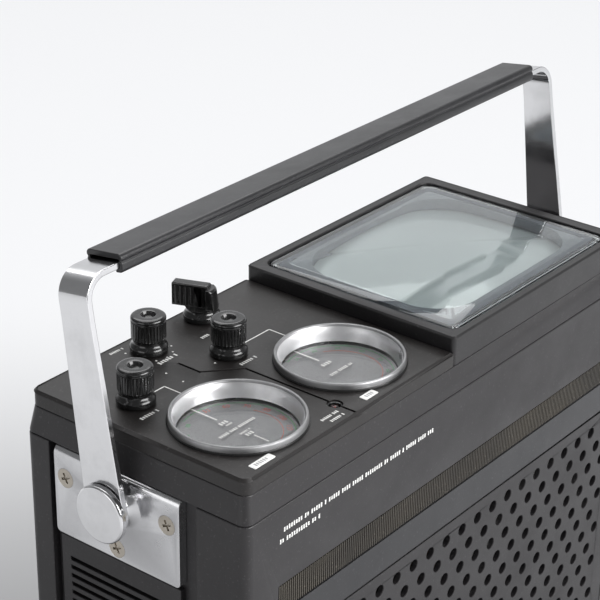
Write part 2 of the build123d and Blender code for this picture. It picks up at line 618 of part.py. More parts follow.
def main_board():
    y0 = 42.0
    cans = [rod_y(x, z, y0 - h, y0, r) for x, z, r, h in
            ((-104, 143, 5, 20), (-76, 143, 5, 20), (-60, 120, 7, 24), (-20, 150, 6, 16), (100, 150, 5, 12))]
    cans += [block(x, x + 9, y0 - 11, y0, z, z + 9) for x in (-120, -104, -88) for z in (104, 120)]
    return board(-128, 118, y0, y0 + 1.6, 98, 160, cans)


def radio_board():
    z1 = PANEL_Z - 64
    cans = [block(x, x + 8, y, y + 8, z1, z1 + 12) for x in (-120, -104, -66, -50) for y in (4, 18)]
    cans += [rod_z(x, 30, z1, z1 + 14, 4) for x in (-110, -92, -74)]
    return board(-132, -24, -46, 38, z1 - 1.6, z1, cans)


def transformer(x0, x1, y0, y1, z0, z1):
    """Laminated core with its bobbin."""
    core = block(x0, x1, y0, y1, z0, z1)
    t = (x1 - x0) * 0.16
    window = block(x0 + t, x1 - t, y0 - 1, y1 + 1, z0 + t, z1 - t)
    bobbin = block(x0 + t, x1 - t, y0 - 5, y1 + 5, z0 + t, z1 - t)
    return (core - window) + fillet(bobbin.edges().filter_by(Axis.Z), 3)


def ferrite_rod():
    return rod_x(*FERRITE, -126, -26, 4.6)


def ferrite_coil():
    y, z = FERRITE
    coil = rod_x(y, z, -118, -98, 6.4) - rod_x(y, z, -120, -94, 4.6)
    clips = []
    for x in (-92, -40):
        clip = block(x - 2, x + 2, y - 6.6, 42.0, z - 6.6, z + 6.6)
        clips.append(clip - rod_x(y, z, x - 3, x + 3, 4.6))
    return group([coil] + clips)




def battery_box():
    body = block(-127, 127, -20, RY - WALL, 11.5, 52.5)
    body -= block(-124, 124, -18, RY, 14.0, 50.0)
    for x, y in BOX_SCREWS:
        body += rod_z(x, y, FOOT_H + WALL, 11.5, 3.5)
        body -= rod_z(x, y, FOOT_H, 13.0, 1.2)
    return body


def case_screws():
    """Pan-head screws that hold the battery box to the rear wall."""
    parts = []
    for x, y in BOX_SCREWS:
        head = rod_z(x, y, FOOT_H, FOOT_H + 1.2, 3.0) - Pos(x, y, FOOT_H) * Rot(0, 0, 30) * Box(4.2, 0.9, 1.4)
        parts.append(head + rod_z(x, y, FOOT_H + 1.2, FOOT_H + 8.0, 1.2))
    return group(parts)


def battery_contacts():
    parts = []
    for y in (-0.5, 33.0):
        for x0, x1 in ((-124, -123.4), (123.4, 124)):
            parts.append(block(x0, x1, y - 9, y + 9, 22, 42))
    return group(parts)


def battery_door():
    body = block(-123.6, 123.6, RY - WALL, RY, 14.8, 49.6)
    body -= block(-60, 60, RY - 0.6, RY + 1, 42.0, 46.0)
    for k in range(8):
        body += block(-58 + k * 15, -52 + k * 15, RY - 1, RY - 0.2, 42.5, 45.5)
    for x0, x1 in BODY_KNUCKLES:
        body -= rod_x(*DOOR_AXIS, x0 - GAP, x1 + GAP, KNUCKLE_R + GAP)
    for x0, x1 in DOOR_KNUCKLES:
        body += rod_x(*DOOR_AXIS, x0, x1, KNUCKLE_R)
        body += block(x0, x1, RY - WALL, RY, 14.2, 17.0)
        body -= rod_x(*DOOR_AXIS, x0 - 1, x1 + 1, DOOR_PIN_R + RUN_FIT)
    return body


def door_pins():
    inner, outer = BODY_KNUCKLES[1][0], DOOR_KNUCKLES[2][1]
    return group([rod_x(*DOOR_AXIS, -outer, -inner, DOOR_PIN_R), rod_x(*DOOR_AXIS, inner, outer, DOOR_PIN_R)])


def mains_inlet():
    z0 = FOOT_H
    body = block(-76.4, -53.6, -36.4, -25.6, z0, z0 + 16)
    body -= slab(-65, -31, 18, 8, 3.9, z0 - 1, z0 + 13)
    for x in (-69, -61):
        body += rod_z(x, -31, z0 + 5, z0 + 14, 1.1)
    return body


def round_socket(place, r, depth):
    """Blind socket whose mouth is in the rear wall."""
    z0 = FOOT_H
    return rod_z(*place, z0, z0 + 15, 4.4) - rod_z(*place, z0 - 1, z0 + depth, r)


def feet():
    """Four rubber feet on the rear face and four on the base."""
    rear = [rod_z(sx * 112, sy * 41 - 3, 0, FOOT_H, 7.0) for sx in (-1, 1) for sy in (-1, 1)]
    base = [rod_y(sx * 118, z, RY, RY + 3.0, 6.0) for sx in (-1, 1) for z in (64.0, 192.0)]
    return group(rear + base)


# ---------------------------------------------------------------- rod aerial
def aerial_swivel():
    x, y, z = AERIAL
    floor = AERIAL_SLOT[1]
    body = rod_y(x, z, floor - 2.4, floor - GAP, 5.6)
    body += rod_y(x, z, floor - 0.5, floor + WALL + 3.4, 2.5)
    for s in (-1, 1):
        body += block(x + s * 3.9 - 0.9, x + s * 3.9 + 0.9, y - 3.0, floor - 2.0, z - 3.4, z + 3.4)
    body -= rod_x(y, z, x - 6, x + 6, 1.2)
    return body


def aerial_elbow_pin():
    x, y, z = AERIAL
    return rod_x(y, z, x - 4.8, x + 4.8, 1.2)




def aerial_root():
    """Outer tube with the flat tongue that turns in the fork."""
    x, y, z = AERIAL
    body = block(x - 2.8, x + 2.8, y - 2.6, y + 2.6, z - 10, z + 2.6)
    body = fillet(body.edges().filter_by(Axis.X).group_by(Axis.Z)[-1], 2.5)
    body -= rod_x(y, z, x - 4, x + 4, 1.2 + RUN_FIT)
    tube = rod_z(x, y, AERIAL_END, z - 8, 3.2) - rod_z(x, y, AERIAL_END - 1, z - 12, 2.75)
    return body + tube


def aerial_section(r, inner, low, high):
    x, y, _ = AERIAL
    body = rod_z(x, y, low, high, r)
    return body - rod_z(x, y, low - 1, high - 3, inner) if inner else body


def aerial_tip():
    x, y, _ = AERIAL
    body = aerial_section(2.2, 0, AERIAL_END - 4, 165.0)
    return body + rod_z(x, y, AERIAL_END - 9, AERIAL_END - 4, 3.2)


# ---------------------------------------------------------------- write every node
def main():
    os.makedirs("parts", exist_ok=True)
    save("control_panel", control_panel())
    save("front_cabinet", front_cabinet())
    save("rear_cabinet", rear_cabinet())
    save("screen_frame", screen_frame())
    save("implosion_shield", implosion_shield())
    save("picture_tube", picture_tube())
    save("tube_mask", tube_mask())
    save("tube_clamp", tube_clamp())
    save("tube_screws", tube_screws())
    save("deflection_yoke", deflection_yoke())
    save("socket_board", socket_board())
    dials = (RADIO_DIAL, TV_DIAL)
    knobs = (RADIO_KNOB, TV_KNOB)
    save("dial_rings", group([dial_ring(*dial) for dial in dials]))
    save("dial_windows", group([dial_window(*dial) for dial in dials]))
    save("drive_cords", group([drive_cord(dial, knob) for dial, knob in zip(dials, knobs)]))
    for name, dial, knob in zip(("radio", "tv"), dials, knobs):
        save(f"{name}_scale_disc", scale_disc(*dial))
        save(f"{name}_tuning_knob", round_knob(*knob, LONG_SPINDLE))
    save("volume_knob", round_knob(*VOLUME_KNOB, SHORT_SPINDLE))
    save("selector_knob", selector_knob())
    save("rotary_controls", group([control_body(*VOLUME_KNOB, 7.5), control_body(*SELECTOR, 7.5)]))
    save("tuning_lamp", tuning_lamp())
    label_z = (PANEL_Z, PANEL_Z + 0.3)
    save("label_plates", group([block(-132.3, -120.9, -49.3, -45.9, *label_z),
                                block(-67.9, -60.1, -49.2, -45.8, *label_z)]))
    save("dial_chassis", dial_chassis())
    save("tuning_capacitor", tuner_box(*RADIO_DIAL, 26, 26, PANEL_Z - 44, PANEL_Z - 21.5))
    save("tv_tuner", tuner_box(*TV_DIAL, 34, 40, PANEL_Z - 50, PANEL_Z - 21.5))
    save("handle_strap", handle_strap())
    save("handle_grip", handle_grip())
    save("pivot_clips", pivot_clips())
    save("plate_screws", plate_screws())
    save("pivot_pins", group([pivot_pin(-1), pivot_pin(1)]))
    save("pivot_plates", group([pivot_plate(-1), pivot_plate(1)]))
    save("pivot_bushes", group([pivot_bush(-1), pivot_bush(1)]))
    save("vent_panels", group([vent_panel(-1), vent_panel(1)]))
    save("speaker_grille", speaker_grille())
    save("slat_strip", slat_strip())
    save("plain_strip", plain_strip())
    save("speaker_frame", speaker_frame())
    save("speaker_cone", speaker_cone())
    save("speaker_magnet", speaker_magnet())
    save("main_board", main_board())
    save("radio_board", radio_board())
    save("transformers", group([transformer(-126, -82, -38, -8, 60, 100),
                                transformer(86, 120, 2, 26, 62, 96)]))
    save("ferrite_rod", ferrite_rod())
    save("ferrite_coil", ferrite_coil())
    save("battery_box", battery_box())
    save("case_screws", case_screws())
    save("battery_contacts", battery_contacts())
    save("battery_door", battery_door())
    save("door_pins", door_pins())
    save("mains_inlet", mains_inlet())
    save("earphone_socket", round_socket(EARPHONE, 1.8, 12))
    save("dc_inlet", round_socket(DC_INLET, 2.8, 10))
    save("feet", feet())
    save("aerial_swivel", aerial_swivel())
    save("aerial_elbow_pin", aerial_elbow_pin())
    save("aerial_root", aerial_root())
    save("aerial_middle", aerial_section(2.7, 2.25, AERIAL_END - 3, 170.0))
    save("aerial_tip", aerial_tip())
    print(len(NODES), "nodes")


main()
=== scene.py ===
"""Looks of the portable television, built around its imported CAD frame.  Units are metres."""

import json
from math import atan2, cos, hypot, pi, radians, sin

import bmesh
import bpy
from mathutils import Matrix, Vector

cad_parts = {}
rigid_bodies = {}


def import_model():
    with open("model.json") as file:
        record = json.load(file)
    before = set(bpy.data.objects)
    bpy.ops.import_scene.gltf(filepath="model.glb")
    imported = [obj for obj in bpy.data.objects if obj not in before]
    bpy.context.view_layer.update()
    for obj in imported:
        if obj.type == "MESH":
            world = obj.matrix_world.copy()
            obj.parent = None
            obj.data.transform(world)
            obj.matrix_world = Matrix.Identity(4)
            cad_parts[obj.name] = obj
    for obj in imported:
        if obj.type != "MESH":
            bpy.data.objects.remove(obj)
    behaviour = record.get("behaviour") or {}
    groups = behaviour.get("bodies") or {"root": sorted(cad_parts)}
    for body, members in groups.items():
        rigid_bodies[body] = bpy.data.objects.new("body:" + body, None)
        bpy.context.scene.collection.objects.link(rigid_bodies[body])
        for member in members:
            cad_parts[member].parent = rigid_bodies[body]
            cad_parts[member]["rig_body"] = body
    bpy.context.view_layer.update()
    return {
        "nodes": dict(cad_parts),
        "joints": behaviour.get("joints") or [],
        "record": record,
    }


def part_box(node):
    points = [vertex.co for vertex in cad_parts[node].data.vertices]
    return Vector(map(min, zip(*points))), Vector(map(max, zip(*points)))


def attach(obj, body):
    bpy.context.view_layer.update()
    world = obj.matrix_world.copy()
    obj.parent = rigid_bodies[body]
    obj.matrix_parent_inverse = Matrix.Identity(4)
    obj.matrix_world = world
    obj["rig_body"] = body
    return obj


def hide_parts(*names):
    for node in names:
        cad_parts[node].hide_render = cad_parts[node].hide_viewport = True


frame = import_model()
MM = 0.001
CABINET = "cabinet"


# ---------------------------------------------------------------- places taken from the frame
def joint(name):
    """Position of a joint, in metres."""
    found = [j for j in frame["joints"] if j["name"] == name][0]
    return Vector(found["pos_m"])


PANEL_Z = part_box("control_panel")[1].z
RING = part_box("dial_rings")
DIAL_R = (RING[1].y - RING[0].y) / 2 / MM - 0.5
RIM_H = (RING[1].z - PANEL_Z) / MM
WINDOW_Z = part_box("dial_windows")[1].z
DISC_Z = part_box("radio_scale_disc")[1].z
DIALS = {"radio": joint("radio_scale"), "tv": joint("tv_scale")}
KNOBS = {"radio_tuning_knob": joint("radio_tuning"), "tv_tuning_knob": joint("tv_tuning"),
         "volume_knob": joint("volume")}


# ---------------------------------------------------------------- material helpers
class Shader:
    """Short way to build a node material: a principled shader and the nodes that feed it."""

    def __init__(self, name, color, rough, metal=0.0, **sockets):
        self.mat = bpy.data.materials.new(name)
        self.mat.use_nodes = True
        self.tree = self.mat.node_tree
        self.out = self.tree.nodes["Material Output"]
        self.bsdf = self.tree.nodes["Principled BSDF"]
        self.bsdf.inputs["Base Color"].default_value = (*color, 1.0)
        self.bsdf.inputs["Roughness"].default_value = rough
        self.bsdf.inputs["Metallic"].default_value = metal
        for socket, value in sockets.items():
            self.bsdf.inputs[socket.replace("_", " ")].default_value = value
        self.coords = self.tree.nodes.new("ShaderNodeTexCoord").outputs["Object"]

    def node(self, kind, **settings):
        made = self.tree.nodes.new(kind)
        for key, value in settings.items():
            setattr(made, key, value)
        return made

    def link(self, a, b):
        self.tree.links.new(a, b)

    def stretch(self, scale):
        """Object coordinates scaled along each axis."""
        mapping = self.node("ShaderNodeMapping")
        mapping.inputs["Scale"].default_value = scale
        self.link(self.coords, mapping.inputs["Vector"])
        return mapping.outputs["Vector"]

    def noise(self, scale, detail=3.0, rough=0.5, vector=None):
        made = self.node("ShaderNodeTexNoise")
        made.inputs["Scale"].default_value = scale
        made.inputs["Detail"].default_value = detail
        made.inputs["Roughness"].default_value = rough
        self.link(vector or self.coords, made.inputs["Vector"])
        return made.outputs["Fac"]

    def remap(self, value, low, high, to_low, to_high):
        made = self.node("ShaderNodeMapRange")
        for key, number in zip(("From Min", "From Max", "To Min", "To Max"), (low, high, to_low, to_high)):
            made.inputs[key].default_value = number
        self.link(value, made.inputs["Value"])
        return made.outputs["Result"]

    def mix(self, factor, a, b):
        """Colour mix; a and b are colours or sockets."""
        made = self.node("ShaderNodeMix", data_type="RGBA")
        self.link(factor, made.inputs["Factor"])
        for key, value in (("A", a), ("B", b)):
            socket = [s for s in made.inputs if s.name == key and s.type == "RGBA"][0]
            if isinstance(value, tuple):
                socket.default_value = (*value, 1.0)
            else:
                self.link(value, socket)
        return [s for s in made.outputs if s.type == "RGBA"][0]

    def color(self, socket):
        self.link(socket, self.bsdf.inputs["Base Color"])

    def rough(self, socket):
        self.link(socket, self.bsdf.inputs["Roughness"])

    def bump(self, height, distance, strength=1.0):
        """Adds a bump under whatever bump is already there."""
        made = self.node("ShaderNodeBump")
        made.inputs["Distance"].default_value = distance
        made.inputs["Strength"].default_value = strength
        self.link(height, made.inputs["Height"])
        old = self.bsdf.inputs["Normal"].links
        if old:
            self.link(old[0].from_socket, made.inputs["Normal"])
        self.link(made.outputs["Normal"], self.bsdf.inputs["Normal"])


def moulded(name, dark, light, rough, grain, depth, **sockets):
    """Moulded plastic: fine spark-eroded grain, faint dust and handling marks."""
    s = Shader(name, dark, rough, **{"Specular_IOR_Level": 0.42, **sockets})
    patches = s.remap(s.noise(14, 5, 0.6), 0.35, 0.7, 0.0, 1.0)
    specks = s.remap(s.noise(900, 2, 0.5), 0.62, 0.74, 0.0, 0.55)
    base = s.mix(patches, dark, light)
    dust = tuple(min(1.0, c * 2.2 + 0.02) for c in light)
    s.color(s.mix(specks, base, dust))
    s.rough(s.remap(s.noise(45, 4, 0.6), 0.3, 0.7, rough - 0.06, rough + 0.08))
    s.bump(s.noise(grain, 2, 0.6), depth)
    scratches = s.noise(90, 2, 0.4, s.stretch((1.0, 14.0, 1.0)))
    s.bump(s.remap(scratches, 0.66, 0.72, 0.0, 1.0), 0.012 * MM)
    return s.mat


def plated(name, color, rough, brushed=(1.0, 1.0, 1.0), marks=0.008):
    """Plated metal with fine polishing lines and cloudy wear."""
    s = Shader(name, color, rough, 1.0)
    cloud = s.noise(60, 5, 0.65)
    lines = s.noise(420, 3, 0.6, s.stretch(brushed))
    s.rough(s.remap(cloud, 0.3, 0.75, rough * 0.7, rough * 1.7))
    dull = tuple(c * 0.82 for c in color)
    s.color(s.mix(s.remap(cloud, 0.45, 0.8, 0.0, 0.8), color, dull))
    s.bump(lines, marks * MM, 0.6)
    return s.mat


def clear(name, color, rough, ior=1.5):
    s = Shader(name, color, rough, Transmission_Weight=1.0, IOR=ior)
    smear = s.noise(38, 4, 0.6)
    s.rough(s.remap(smear, 0.5, 0.85, rough, rough + 0.05))
    return s.mat


def printed(name, color, rough=0.45):
    """Screen-printed ink with slightly uneven cover."""
    s = Shader(name, color, rough)
    worn = tuple(c * 0.72 for c in color)
    s.color(s.mix(s.remap(s.noise(1300, 3, 0.6), 0.5, 0.72, 0.0, 0.9), color, worn))
    return s.mat


M = {
    "cabinet": moulded("cabinet_plastic", (0.0135, 0.0124, 0.0136), (0.0195, 0.018, 0.0192), 0.42,
                       2600, 0.020 * MM),
    "panel": moulded("panel_plastic", (0.0105, 0.0092, 0.0090), (0.017, 0.0150, 0.0145), 0.40,
                     2600, 0.018 * MM),
    "bezel": moulded("bezel_plastic", (0.0105, 0.0098, 0.0108), (0.0155, 0.0148, 0.0155), 0.38,
                     2600, 0.016 * MM),
    "knob": moulded("knob_plastic", (0.006, 0.006, 0.006), (0.010, 0.010, 0.010), 0.20, 1500, 0.004 * MM,
                    Coat_Weight=0.4, Coat_Roughness=0.12),
    "grip": moulded("grip_plastic", (0.008, 0.008, 0.009), (0.013, 0.013, 0.015), 0.34, 3200, 0.016 * MM,
                    Specular_IOR_Level=0.6),
    "trim": moulded("trim_plastic", (0.015, 0.015, 0.017), (0.022, 0.022, 0.024), 0.36, 2600, 0.010 * MM),
    "chrome": plated("chrome_strap", (0.74, 0.74, 0.75), 0.13, (1.0, 1.0, 0.05)),
    "plate": plated("chrome_plate", (0.60, 0.60, 0.61), 0.20, (1.0, 0.08, 1.0)),
    "rim": plated("dial_rim_metal", (0.34, 0.34, 0.345), 0.42, (1.0, 1.0, 0.04)),
    "cone": plated("satin_cone", (0.66, 0.66, 0.67), 0.36, (1.0, 1.0, 0.04), 0.02),
    "foil": plated("rating_foil", (0.52, 0.52, 0.53), 0.42, (0.1, 1.0, 1.0), 0.01),
    "nickel": plated("nickel_screw", (0.48, 0.44, 0.38), 0.30, (1.0, 1.0, 1.0), 0.02),
    "aerial": plated("aerial_chrome", (0.80, 0.80, 0.80), 0.10, (1.0, 1.0, 0.05)),
    "steel": plated("plain_steel", (0.50, 0.50, 0.48), 0.35, (1.0, 1.0, 1.0), 0.02),
    "brass": plated("contact_brass", (0.72, 0.62, 0.38), 0.28, (1.0, 1.0, 1.0), 0.01),
    "shield": clear("shield_glass", (0.93, 0.975, 0.97), 0.0),
    "window": clear("window_acrylic", (0.97, 0.98, 0.98), 0.01, 1.45),
    "lamp": clear("lamp_lens", (0.55, 0.03, 0.02), 0.05, 1.45),
    "white": printed("white_ink", (0.72, 0.72, 0.70)),
    "grey_ink": printed("grey_ink", (0.34, 0.34, 0.35)),
    "slats": moulded("slat_plastic", (0.030, 0.027, 0.023), (0.060, 0.052, 0.040), 0.5, 1400, 0.02 * MM),
    "green": printed("green_ink", (0.07, 0.40, 0.12)),
    "red": printed("red_ink", (0.72, 0.11, 0.06)),
    # scale card: its own grey, lightened with a painted glare from the window over it
    "scale": printed("scale_card_with_painted_glare", (0.30, 0.295, 0.30), 0.5),
    "skirt": moulded("dial_skirt", (0.008, 0.008, 0.008), (0.012, 0.012, 0.012), 0.3, 2000, 0.004 * MM),
    "label": printed("label_white", (0.80, 0.80, 0.78), 0.35),
    "rubber": moulded("rubber", (0.012, 0.012, 0.012), (0.02, 0.02, 0.02), 0.7, 1800, 0.03 * MM),
    "paper": moulded("cone_paper", (0.02, 0.02, 0.02), (0.035, 0.034, 0.033), 0.85, 700, 0.08 * MM),
    "ferrite": moulded("ferrite", (0.03, 0.03, 0.032), (0.045, 0.045, 0.047), 0.6, 900, 0.03 * MM),
    "board": moulded("board", (0.16, 0.09, 0.04), (0.20, 0.12, 0.055), 0.5, 500, 0.02 * MM),
    "copper": moulded("lacquered_coil", (0.25, 0.07, 0.025), (0.33, 0.10, 0.04), 0.3, 1200, 0.05 * MM),
    "nylon": moulded("nylon", (0.62, 0.60, 0.55), (0.68, 0.66, 0.61), 0.5, 1500, 0.01 * MM),
    "cord": moulded("drive_cord", (0.45, 0.42, 0.34), (0.55, 0.52, 0.43), 0.8, 3000, 0.05 * MM),
    "mask": moulded("mask_plastic", (0.15, 0.163, 0.185), (0.18, 0.193, 0.215), 0.6, 2200, 0.010 * MM),
}


def tube_material():
    """Grey-green phosphor behind polished glass; its base colour is the phosphor's own tone raised with a
    painted reflection of the bright backdrop.
    """
    # base colour: phosphor grey-green plus a painted reflection of the backdrop, spread evenly over the face
    s = Shader("tube_face", (0.53, 0.56, 0.56), 0.28, Coat_Weight=1.0, Coat_Roughness=0.04)
    s.color(s.mix(s.remap(s.noise(9, 2), 0.3, 0.7, 0.0, 1.0), (0.52, 0.555, 0.56), (0.55, 0.585, 0.59)))
    s.bump(s.noise(2400, 1), 0.004 * MM)
    return s.mat


M["tube"] = tube_material()


# ---------------------------------------------------------------- mesh helpers
SHARP = 32.0        # edges that turn by more than this, in degrees, are rounded
INK = 0.04          # thickness of printing, in mm


def add(name, mesh, mat, body, slot, replaced=()):
    """Object of that mesh, dressed, riding on its body."""
    obj = bpy.data.objects.new(name, mesh)
    bpy.context.scene.collection.objects.link(obj)
    mesh.materials.clear()
    mesh.materials.append(mat)
    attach(obj, body)
    if replaced:
        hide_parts(*replaced)
    return obj


def finish_mesh(bm, name, angle=35.0):
    mesh = bpy.data.meshes.new(name)
    bmesh.ops.recalc_face_normals(bm, faces=bm.faces)
    bm.to_mesh(mesh)
    bm.free()
    mesh.polygons.foreach_set("use_smooth", [True] * len(mesh.polygons))
    mesh.set_sharp_from_angle(angle=radians(angle))
    return mesh


def soften(obj, width, segments=2):
    """Rounds every sharp edge of a piece."""
    bevel = obj.modifiers.new("edges", "BEVEL")
    bevel.width = width
    bevel.segments = segments
    bevel.limit_method = "ANGLE"
    bevel.angle_limit = radians(SHARP)
    bevel.harden_normals = True
    bevel.use_clamp_overlap = False
    bevel.miter_outer = "MITER_ARC"
    return obj


def refined(node, mat, width=0.4 * MM, segments=2, wide=None):
    """A CAD node's own shape with its edges rounded; wide = (test of an edge's middle, larger width)."""
    source = frame["nodes"][node]
    bm = bmesh.new()
    bm.from_mesh(source.data)
    bmesh.ops.remove_doubles(bm, verts=bm.verts, dist=1e-6)
    if node not in KEEP_TRIANGLES:
        bmesh.ops.dissolve_limit(bm, angle_limit=radians(0.6), verts=bm.verts, edges=bm.edges)
    if wide:
        test, broad = wide
        weight = bm.edges.layers.float.new("bevel_weight_edge")
        for edge in bm.edges:
            if len(edge.link_faces) == 2 and edge.calc_face_angle(0.0) > radians(SHARP):
                at = (edge.verts[0].co + edge.verts[1].co) / 2 / MM
                along = (edge.verts[1].co - edge.verts[0].co).normalized()
                edge[weight] = 1.0 if test(at, along) else width / broad
        width = broad
    piece = add(f"{node}_finished", finish_mesh(bm, node), mat, source["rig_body"], SLOT[node], [node])
    soften(piece, width, segments)
    if node in KEEP_TRIANGLES:
        piece.data.polygons.foreach_set("use_smooth", [False] * len(piece.data.polygons))
        piece.modifiers["edges"].harden_normals = False
    if wide:
        piece.modifiers["edges"].limit_method = "WEIGHT"
    return piece


def dress(node, mat):
    """A CAD node that stays as it is, in a better material."""
    mesh = frame["nodes"][node].data
    mesh.materials.clear()
    mesh.materials.append(mat)


SLOT = {s["node"]: s["material_slot"] for s in frame["record"]["subparts"]}


def lathed(profile, segments=96, wave=None, closed=False):
    """Surface of revolution about Z from (radius, height) pairs in mm; wave(angle, height) is added."""
    bm = bmesh.new()
    rings = []
    for r, z in profile:
        count = segments if r > 0 else 1
        ring = []
        for k in range(count):
            a = 2 * pi * k / segments
            grown = r + (wave(a, z) if wave and r > 0 else 0.0)
            ring.append(bm.verts.new((grown * cos(a) * MM, grown * sin(a) * MM, z * MM)))
        rings.append(ring)
    pairs = list(zip(rings, rings[1:]))
    if closed:
        pairs.append((rings[-1], rings[0]))
    for low, high in pairs:
        for k in range(segments):
            n = (k + 1) % segments
            corners = [low[k % len(low)], low[n % len(low)], high[n % len(high)], high[k % len(high)]]
            unique = list(dict.fromkeys(corners))
            if len(unique) > 2:
                bm.faces.new(unique)
    return bm


def box_into(bm, place, size, turn=0.0):
    """Adds a closed box, turned about Z, to a mesh in the making; all in mm."""
    made = bmesh.ops.create_cube(bm, size=1.0)["verts"]
    matrix = (Matrix.Translation(Vector(place) * MM) @ Matrix.Rotation(turn, 4, "Z")
              @ Matrix.Diagonal((size[0] * MM, size[1] * MM, size[2] * MM, 1.0)))
    bmesh.ops.transform(bm, matrix=matrix, verts=made)


def stacked(bm, loops):
    """Closed skin over a stack of loops with the same number of points, in mm."""
    rings = [[bm.verts.new(Vector(point) * MM) for point in loop] for loop in loops]
    bm.faces.new(rings[0][::-1])
    bm.faces.new(rings[-1])
    for low, high in zip(rings, rings[1:]):
        for k in range(len(low)):
            n = (k + 1) % len(low)
            bm.faces.new((low[k], low[n], high[n], high[k]))


def rounded_loop(w, h, r, steps=8):
    """Points round a rectangle with rounded corners, counter-clockwise from +X."""
    points = []
    for sx, sy, start in ((1, 1, 0), (-1, 1, 90), (-1, -1, 180), (1, -1, 270)):
        for k in range(steps + 1):
            a = radians(start + 90.0 * k / steps)
            points.append((sx * (w / 2 - r) + r * cos(a), sy * (h / 2 - r) + r * sin(a)))
    return points


def stroke(bm, start, end, width, z, thick=INK):
    """Straight printed line between two points of a level face; all in mm."""
    (xa, ya), (xb, yb) = start, end
    box_into(bm, ((xa + xb) / 2, (ya + yb) / 2, z + thick / 2),
             (hypot(xb - xa, yb - ya), width, thick), atan2(yb - ya, xb - xa))


def arc_into(bm, r, width, start, end, z, thick=INK):
    """Printed arc, as a closed ribbon between two angles in degrees."""
    steps = max(2, int(abs(end - start) / 2))
    rows = []
    for k in range(steps + 1):
        a = radians(start + (end - start) * k / steps)
        row = []
        for radius, height in ((r, z), (r + width, z), (r + width, z + thick), (r, z + thick)):
            row.append(bm.verts.new((radius * cos(a) * MM, radius * sin(a) * MM, height * MM)))
        rows.append(row)
    for one, two in zip(rows, rows[1:]):
        for k in range(4):
            bm.faces.new((one[k], one[(k + 1) % 4], two[(k + 1) % 4], two[k]))
    bm.faces.new(rows[0][::-1])
    bm.faces.new(rows[-1])


def dot_into(bm, x, y, r, z, thick=INK):
    made = bmesh.ops.create_cone(bm, cap_ends=True, segments=20, radius1=r * MM, radius2=r * MM,
                                 depth=thick * MM)["verts"]
    bmesh.ops.translate(bm, vec=Vector((x, y, z + thick / 2)) * MM, verts=made)


def number_into(bm, text, height, place, turn, thick=INK):
    """Adds flat figures, centred on a place in mm and turned about Z."""
    curve = bpy.data.curves.new("figures", "FONT")
    curve.body = text
    curve.size = height * MM
    curve.align_x, curve.align_y = "CENTER", "CENTER"
    curve.extrude = thick / 2 * MM
    curve.resolution_u = 2
    holder = bpy.data.objects.new("figures", curve)
    mesh = bpy.data.meshes.new_from_object(holder)
    mesh.transform(Matrix.Translation(Vector(place) * MM) @ Matrix.Rotation(turn, 4, "Z"))
    bm.from_mesh(mesh)
    bpy.data.objects.remove(holder)
    bpy.data.curves.remove(curve)
    bpy.data.meshes.remove(mesh)


def words(bm, start, end, z, height=1.2, lengths=(6, 4, 8)):
    """Row of small upright bars in groups, where the set carried words."""
    (xa, ya), (xb, yb) = start, end
    whole = hypot(xb - xa, yb - ya)
    ux, uy = (xb - xa) / whole, (yb - ya) / whole
    bar, gap, space = 0.42 * height, 0.30 * height, 0.55 * height
    at, k, group = 0.0, 0, 0
    while at < whole - bar:
        tall = height * (1.0, 0.82, 1.0, 0.9)[k % 4]
        at_x, at_y = xa + ux * (at + bar / 2), ya + uy * (at + bar / 2)
        box_into(bm, (at_x, at_y, z + INK / 2), (bar, tall, INK), atan2(uy, ux))
        at += bar + gap
        k += 1
        if k >= lengths[group % len(lengths)]:
            at += space
            k, group = 0, group + 1


# ---------------------------------------------------------------- CAD nodes that keep their mesh
CAD_LOOKS = {
    "picture_tube": "tube", "tube_clamp": "steel", "tube_screws": "nickel", "deflection_yoke": "copper",
    "socket_board": "board", "dial_windows": "window", "radio_scale_disc": "scale", "tv_scale_disc": "scale",
    "drive_cords": "cord", "rotary_controls": "steel", "dial_chassis": "steel", "tuning_capacitor": "steel",
    "tv_tuner": "steel", "pivot_clips": "steel", "pivot_bushes": "nylon", "speaker_frame": "steel",
    "speaker_cone": "paper", "speaker_magnet": "ferrite", "main_board": "board", "radio_board": "board",
    "transformers": "steel", "ferrite_rod": "ferrite", "ferrite_coil": "copper", "battery_box": "trim",
    "battery_contacts": "brass", "tube_mask": "mask", "earphone_socket": "trim", "dc_inlet": "trim",
    "aerial_elbow_pin": "steel",
}
for node, look in CAD_LOOKS.items():
    dress(node, M[look])

# CAD nodes shown with their edges rounded: material, width in mm, segments
ROUNDED = {
    "control_panel": ("panel", 0.14, 3), "front_cabinet": ("cabinet", 0.4, 2),
    "rear_cabinet": ("cabinet", 0.4, 2), "screen_frame": ("bezel", 0.4, 2),
    "selector_knob": ("knob", 0.18, 2), "handle_strap": ("chrome", 0.35, 2), "handle_grip": ("grip", 0.4, 2),
    "pivot_pins": ("chrome", 0.3, 2), "plate_screws": ("nickel", 0.12, 2), "pivot_plates": ("plate", 0.2, 2),
    "vent_panels": ("cabinet", 0.3, 2), "speaker_grille": ("cabinet", 0.3, 2),
    "plain_strip": ("trim", 0.2, 2), "battery_door": ("cabinet", 0.0, 2),
    "case_screws": ("nickel", 0.15, 2), "mains_inlet": ("trim", 0.3, 2), "feet": ("rubber", 0.6, 3),
    "aerial_swivel": ("aerial", 0.25, 2), "aerial_root": ("aerial", 0.2, 2),
    "aerial_middle": ("aerial", 0.15, 2), "aerial_tip": ("aerial", 0.2, 2),
}
KEEP_TRIANGLES = ("speaker_grille", "vent_panels", "battery_door")   # faces with holes stay in triangles
EDGE = 0.6                      # how near, in mm, an edge lies to the outline it belongs to
PANEL_RIM = (50.5, -139.0)      # the panel's rim lies beyond this distance in Y, or before this X, in mm
SEAM_OUTSIDE = (139.5, 51.5)    # the cabinet's outside lies beyond one of these, along X or Y, in mm


def top_test(node):
    """True for edges on the top of a node."""
    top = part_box(node)[1].z / MM

    def test(at, along):
        return abs(at.z - top) <= EDGE
    return test


